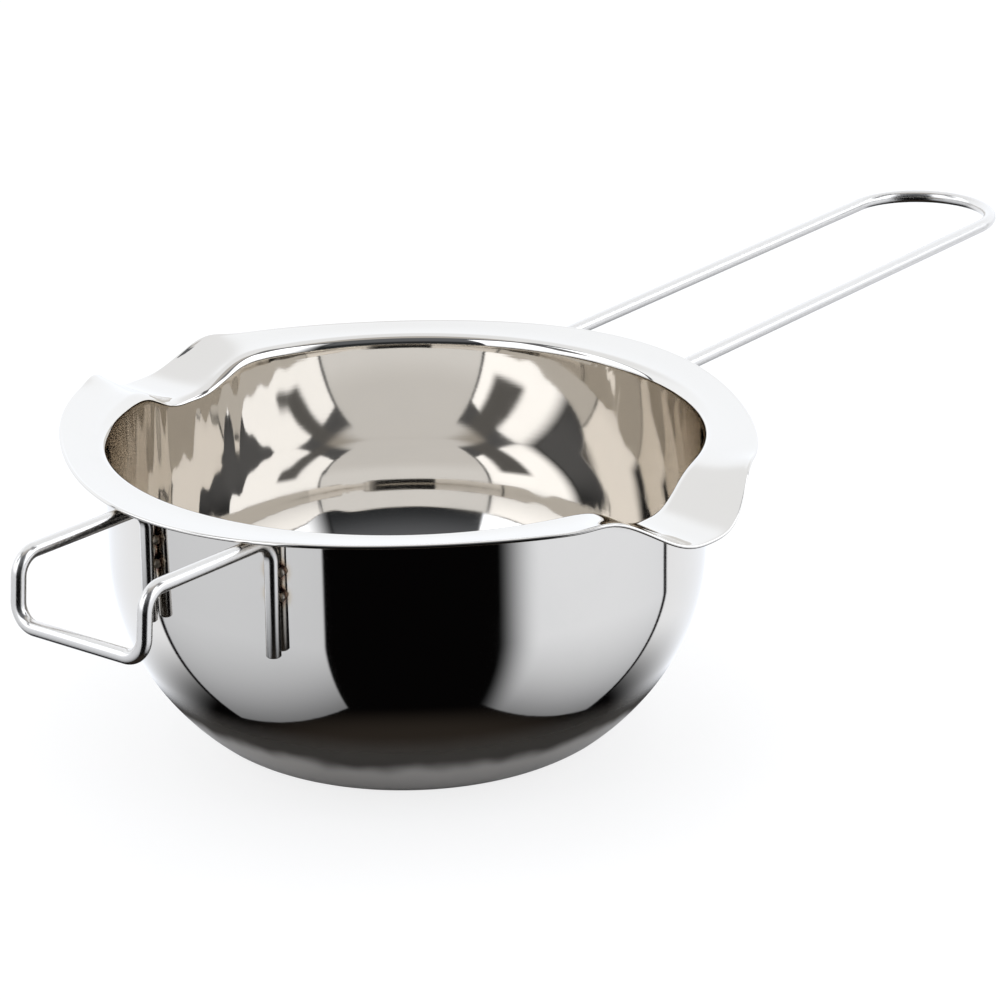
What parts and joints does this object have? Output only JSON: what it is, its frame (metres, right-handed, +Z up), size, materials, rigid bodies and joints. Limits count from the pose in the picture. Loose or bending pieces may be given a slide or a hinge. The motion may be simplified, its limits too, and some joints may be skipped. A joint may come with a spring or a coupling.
{
  "type": "candle melting pot",
  "caption": "Pressed steel melting bowl with pour spouts in its flange, a long wire loop handle and a short wire hook that rests it over an outer pan.",
  "frame": {"origin": "centre of the flat base's underside, on the bowl's axis", "axes": "+Z up out of the bowl's mouth, +Y along the long handle, pour spouts on +X and -X"},
  "size_m": [0.1552, 0.321, 0.0657],
  "materials": {
    "polished_sheet": "mirror-polished stainless sheet",
    "bright_wire": "bright drawn stainless wire",
    "weld_metal": "matt weld metal with heat tint"
  },
  "bodies": {
    "root": {"bowl": "polished_sheet", "long_handle": "bright_wire", "rest_hook": "bright_wire", "handle_welds": "weld_metal", "hook_welds": "weld_metal"}
  },
  "joints": []
}
